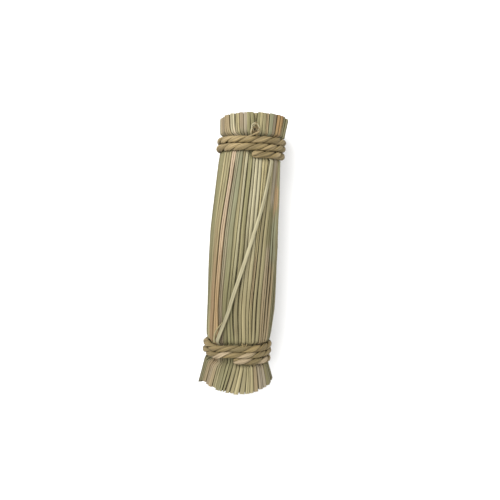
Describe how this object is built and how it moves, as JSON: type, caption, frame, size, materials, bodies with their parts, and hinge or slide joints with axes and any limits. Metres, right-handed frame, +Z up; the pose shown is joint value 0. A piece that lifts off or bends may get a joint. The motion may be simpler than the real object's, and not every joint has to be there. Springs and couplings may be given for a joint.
{
  "type": "bunch of seagrass",
  "caption": "Bunch of dried seagrass stems lying on its side, bound near both ends with twisted two-ply seagrass cord, one stem crossing over the others.",
  "frame": {"origin": "on the surface that the bunch lies on, under the middle of its box", "axes": "+Y along the stems towards the upper end, +Z up from the surface it lies on, +X to the right as seen from above with +Y away"},
  "size_m": [0.0335, 0.1217, 0.0319],
  "materials": {
    "straw_stem": "dried seagrass stem, matt, finely ribbed along its length",
    "khaki_stem": "dried seagrass stem, matt, finely ribbed along its length",
    "olive_stem": "dried seagrass stem, matt, finely ribbed along its length",
    "grey_green_stem": "dried seagrass stem, matt, finely ribbed along its length",
    "cream_stem": "dried seagrass stem, matt, finely ribbed along its length",
    "mauve_stem": "dried seagrass stem, matt, finely ribbed along its length",
    "orange_tan_stem": "dried seagrass stem, matt, finely ribbed along its length",
    "pink_tan_stem": "dried seagrass stem, matt, finely ribbed along its length",
    "brown_mauve_stem": "dried seagrass stem, matt, finely ribbed along its length",
    "inner_stems": "dried seagrass stems, matt, with cut ends",
    "cord": "natural two-ply cord twisted from dried seagrass, matt"
  },
  "bodies": {
    "root": {"stem_01": "straw_stem", "stem_02": "brown_mauve_stem", "stem_03": "khaki_stem", "stem_04": "khaki_stem", "stem_05": "straw_stem", "stem_06": "cream_stem", "stem_07": "olive_stem", "stem_08": "olive_stem", "stem_09": "olive_stem", "stem_10": "grey_green_stem", "stem_11": "straw_stem", "stem_12": "brown_mauve_stem", "stem_13": "khaki_stem", "stem_14": "grey_green_stem", "stem_15": "straw_stem", "stem_16": "cream_stem", "stem_17": "olive_stem", "stem_18": "pink_tan_stem", "stem_19": "mauve_stem", "stem_20": "grey_green_stem", "stem_21": "straw_stem", "stem_22": "brown_mauve_stem", "stem_23": "khaki_stem", "stem_24": "khaki_stem", "stem_25": "straw_stem", "stem_26": "cream_stem", "stem_27": "olive_stem", "stem_28": "olive_stem", "stem_29": "olive_stem", "stem_30": "grey_green_stem", "stem_31": "straw_stem", "stem_32": "orange_tan_stem", "stem_33": "khaki_stem", "stem_34": "khaki_stem", "stem_35": "straw_stem", "stem_36": "cream_stem", "stem_37": "olive_stem", "stem_38": "olive_stem", "stem_39": "olive_stem", "stem_40": "grey_green_stem", "stem_41": "straw_stem", "stem_42": "brown_mauve_stem", "stem_43": "khaki_stem", "stem_44": "khaki_stem", "stem_45": "straw_stem", "crossing_stem": "cream_stem", "inner_stems": "inner_stems", "upper_tie": "cord", "lower_tie": "cord"}
  },
  "joints": []
}
